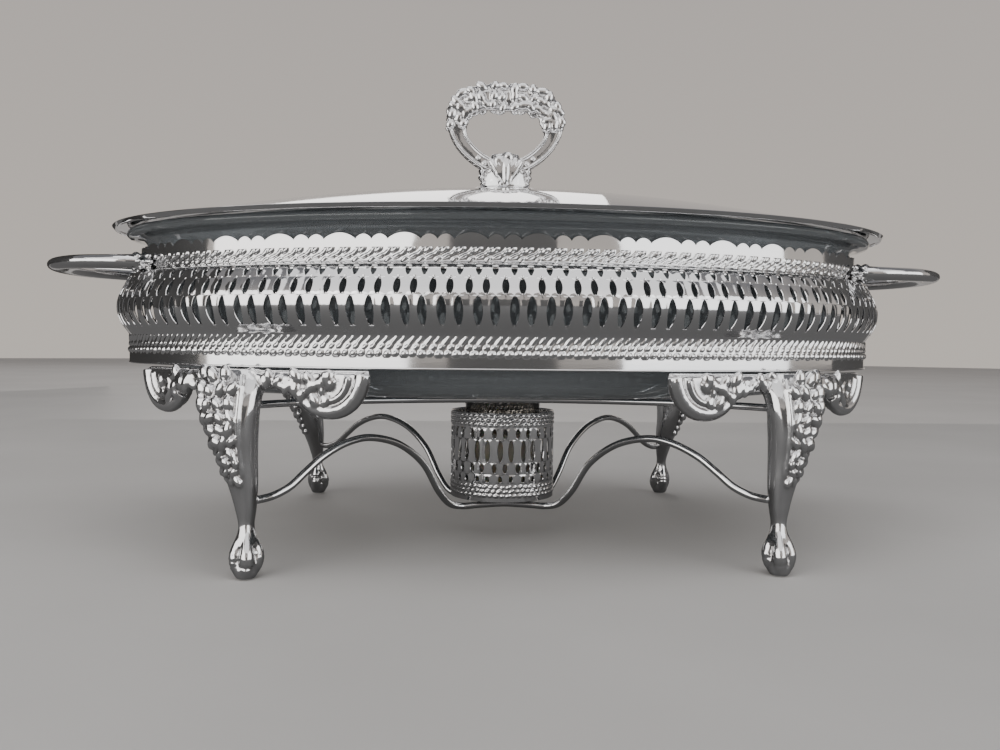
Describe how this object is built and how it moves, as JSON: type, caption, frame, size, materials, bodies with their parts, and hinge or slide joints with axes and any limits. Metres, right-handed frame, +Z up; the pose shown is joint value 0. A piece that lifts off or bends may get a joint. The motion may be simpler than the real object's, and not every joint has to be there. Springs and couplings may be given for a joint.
{
  "type": "oval candle food warmer",
  "caption": "Oval footed food warmer: glass casserole dish with lift-off domed lid in a pierced chrome gallery on cast legs, over a candle burner cup.",
  "frame": {"origin": "middle of the footprint on the surface that the feet stand on", "axes": "+Z up, X along the oval's long axis, -Y towards the front"},
  "size_m": [0.3868, 0.2034, 0.197],
  "materials": {
    "chrome_sheet": "mirror-plated thin sheet, fine handling scratches",
    "chrome_wire": "mirror-plated wire",
    "cast_chrome": "plated casting, bright relief with dark recesses",
    "plain_steel": "satin zinc-plated steel",
    "dish_glass": "clear pressed glass, polished",
    "candle_glass": "clear thin glass",
    "candle_wax": "off-white candle wax",
    "candle_wick": "braided cotton"
  },
  "bodies": {
    "frame": {"gallery_band": "chrome_sheet", "leg_front_left": "cast_chrome", "leg_front_right": "cast_chrome", "leg_back_left": "cast_chrome", "leg_back_right": "cast_chrome", "leg_screw_front_left": "plain_steel", "leg_screw_front_right": "plain_steel", "leg_screw_back_left": "plain_steel", "leg_screw_back_right": "plain_steel", "handle_left": "cast_chrome", "handle_left_screw_front": "plain_steel", "handle_left_screw_back": "plain_steel", "handle_right": "cast_chrome", "handle_right_screw_front": "plain_steel", "handle_right_screw_back": "plain_steel", "dish_rail_front": "chrome_wire", "dish_rail_back": "chrome_wire", "burner_wire_front": "chrome_wire", "burner_wire_back": "chrome_wire", "burner_sleeve": "chrome_sheet", "burner_floor": "plain_steel"},
    "dish": {"glass_dish": "dish_glass"},
    "lid": {"lid_dome": "chrome_sheet", "lid_rosette": "cast_chrome", "lid_handle": "cast_chrome", "lid_washer": "plain_steel", "lid_screw": "plain_steel"},
    "burner_insert": {"burner_glass": "candle_glass", "candle_wax": "candle_wax", "candle_wick": "candle_wick"}
  },
  "joints": [
    {"name": "dish_lift", "type": "slide", "parent": "frame", "child": "dish", "axis": [0, 0, 1], "range_m": [0, 0.1]},
    {"name": "lid_lift", "type": "slide", "parent": "dish", "child": "lid", "axis": [0, 0, 1], "range_m": [0, 0.1]},
    {"name": "burner_insert_lift", "type": "slide", "parent": "frame", "child": "burner_insert", "axis": [0, 0, 1], "range_m": [0, 0.003]}
  ]
}
